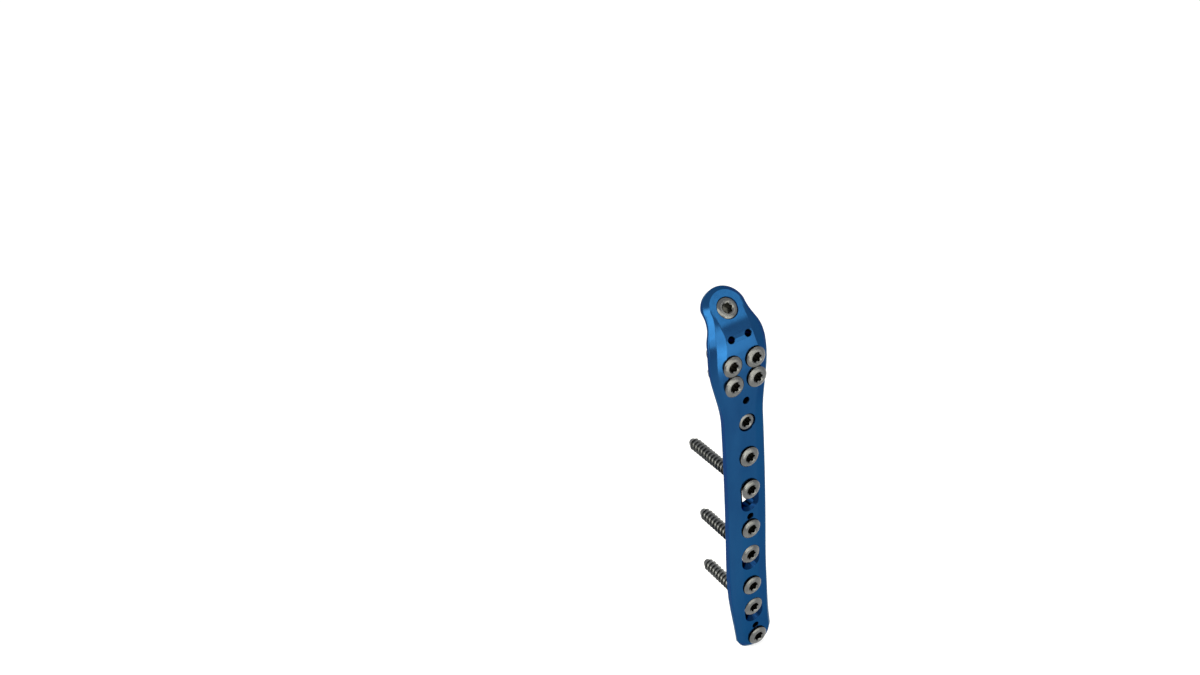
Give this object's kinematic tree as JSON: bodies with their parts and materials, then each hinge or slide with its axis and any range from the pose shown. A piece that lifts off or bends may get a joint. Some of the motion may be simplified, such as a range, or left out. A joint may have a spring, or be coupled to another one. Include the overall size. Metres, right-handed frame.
{
  "type": "orthopedic bone plate",
  "caption": "Hooked anatomic bone plate for the back of the elbow, blue anodised titanium, with star-drive bone screws seated in its round holes and slots and small wire holes between.",
  "frame": {"origin": "where the axis of the middle wire hole opens on the outer face", "axes": "+Z along the shaft towards the hooked head, -Y out of the outer face, +X to the right as seen from outside"},
  "size_m": [0.0178, 0.0272, 0.1167],
  "materials": {
    "anodised_plate": "blue anodised, satin",
    "bare_titanium": "bare grey, polished edges"
  },
  "bodies": {
    "root": {"bone_plate": "anodised_plate", "lobe_screw": "bare_titanium", "cluster_screw_upper_left": "bare_titanium", "cluster_screw_upper_right": "bare_titanium", "cluster_screw_lower_left": "bare_titanium", "cluster_screw_lower_right": "bare_titanium", "shaft_screw_1": "bare_titanium", "shaft_screw_2": "bare_titanium", "shaft_screw_3": "bare_titanium", "shaft_screw_4": "bare_titanium", "shaft_screw_5": "bare_titanium", "slot_screw_1": "bare_titanium", "slot_screw_2": "bare_titanium", "slot_screw_3": "bare_titanium"}
  },
  "joints": []
}
